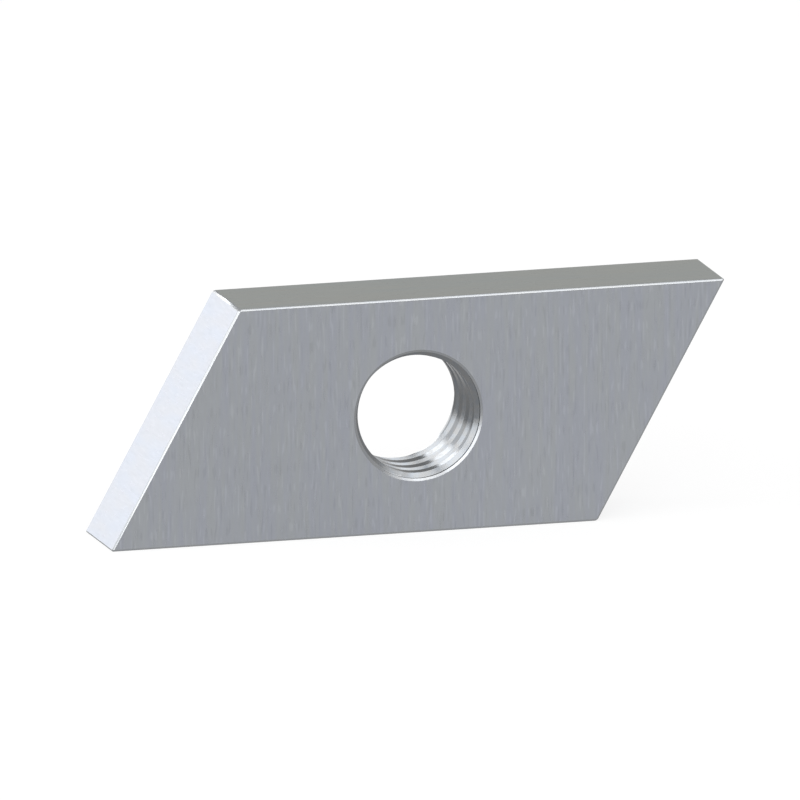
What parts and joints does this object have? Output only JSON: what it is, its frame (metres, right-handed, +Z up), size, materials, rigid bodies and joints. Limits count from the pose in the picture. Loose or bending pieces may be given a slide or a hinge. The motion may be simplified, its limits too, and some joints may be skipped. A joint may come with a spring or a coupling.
{
  "type": "rail nut",
  "caption": "Rhomboid steel plate with a countersunk threaded hole through its middle, turned crossways inside a slotted mounting rail and clamped there by a bolt.",
  "frame": {"origin": "on the thread's axis, halfway through the plate, which is also the centre of the rhomboid", "axes": "+X along the long narrow faces, towards the end whose sharp corner is at the top; +Y along the thread's axis, from the front face to the back face; +Z up from the narrow face that the nut stands on to the other narrow face"},
  "size_m": [0.0266, 0.004, 0.01],
  "materials": {
    "plate_steel": "bright zinc-plated steel, finely brushed across the width"
  },
  "bodies": {
    "root": {"nut_plate": "plate_steel"}
  },
  "joints": []
}
